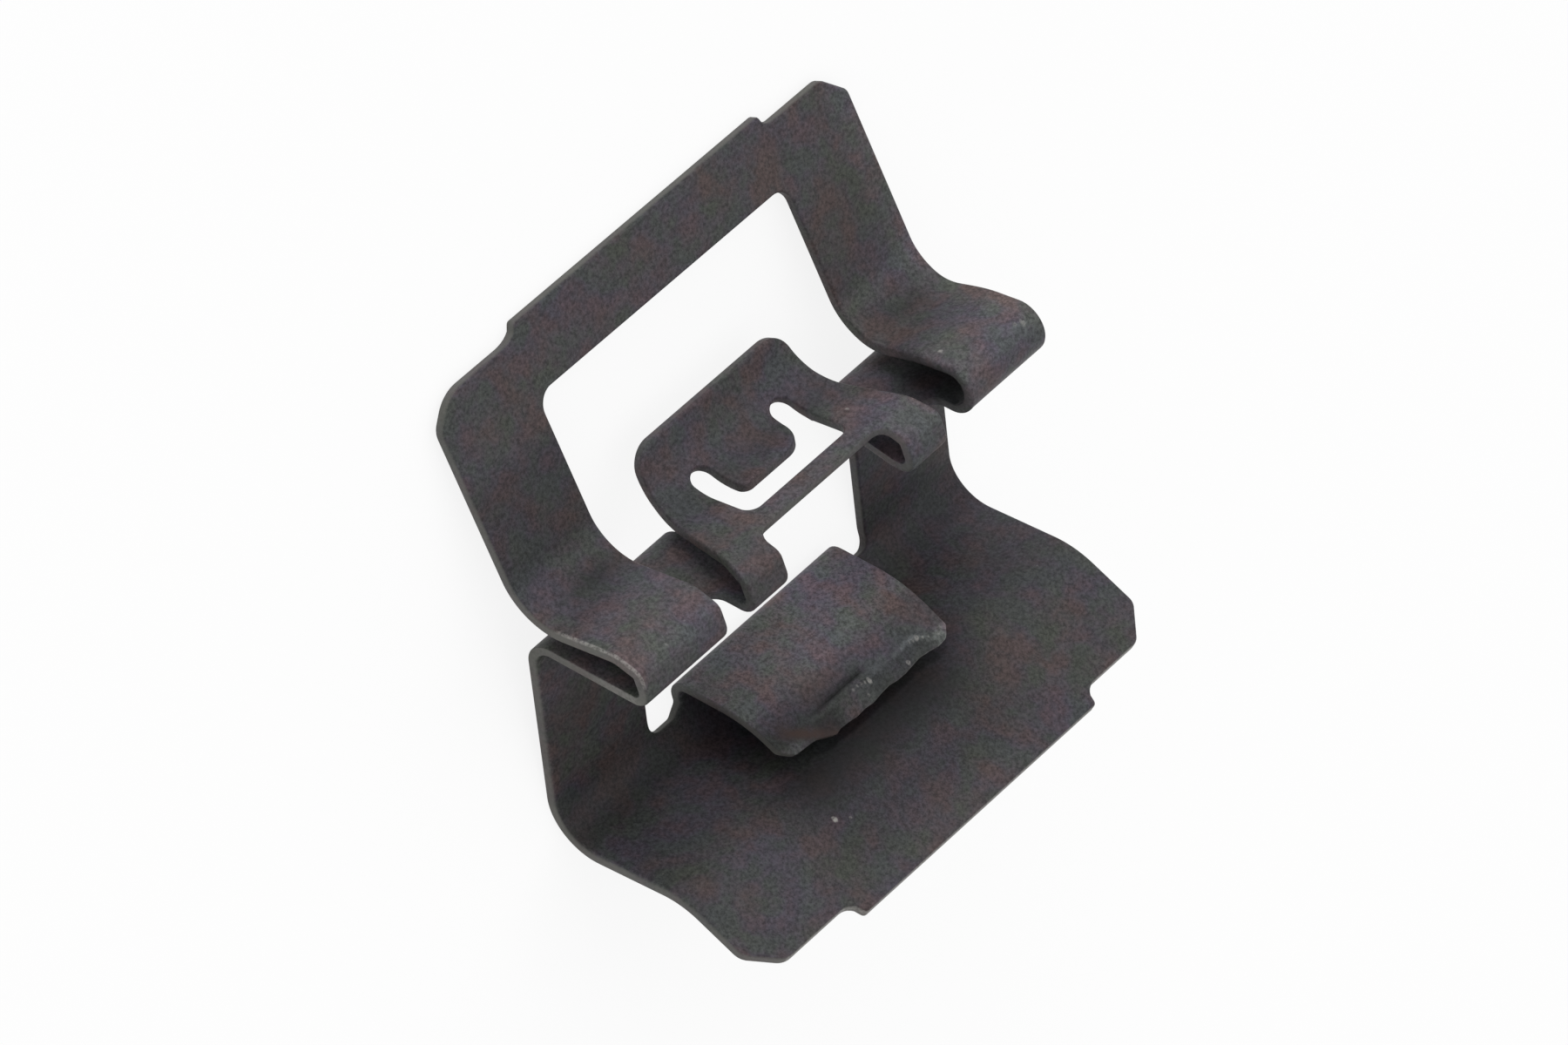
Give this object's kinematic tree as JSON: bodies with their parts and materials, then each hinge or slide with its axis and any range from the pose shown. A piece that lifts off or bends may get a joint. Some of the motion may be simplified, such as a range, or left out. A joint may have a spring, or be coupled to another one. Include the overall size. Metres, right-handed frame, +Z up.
{
  "type": "trim retaining clip",
  "caption": "Folded spring-steel trim clip with a drooping base lip, a bent lance, a hairpin hem, a slotted tongue and a window frame.",
  "frame": {"origin": "middle of the clip's footprint on the floor, as it lies on its back", "axes": "+X along the fold lines, -Y toward the frame's tab, +Z up, the way the clip's front faces as it lies"},
  "size_m": [0.025, 0.0264, 0.0102],
  "materials": {
    "phosphated_steel": "matte dark phosphate and oil"
  },
  "bodies": {
    "root": {"spring_clip": "phosphated_steel"}
  },
  "joints": []
}
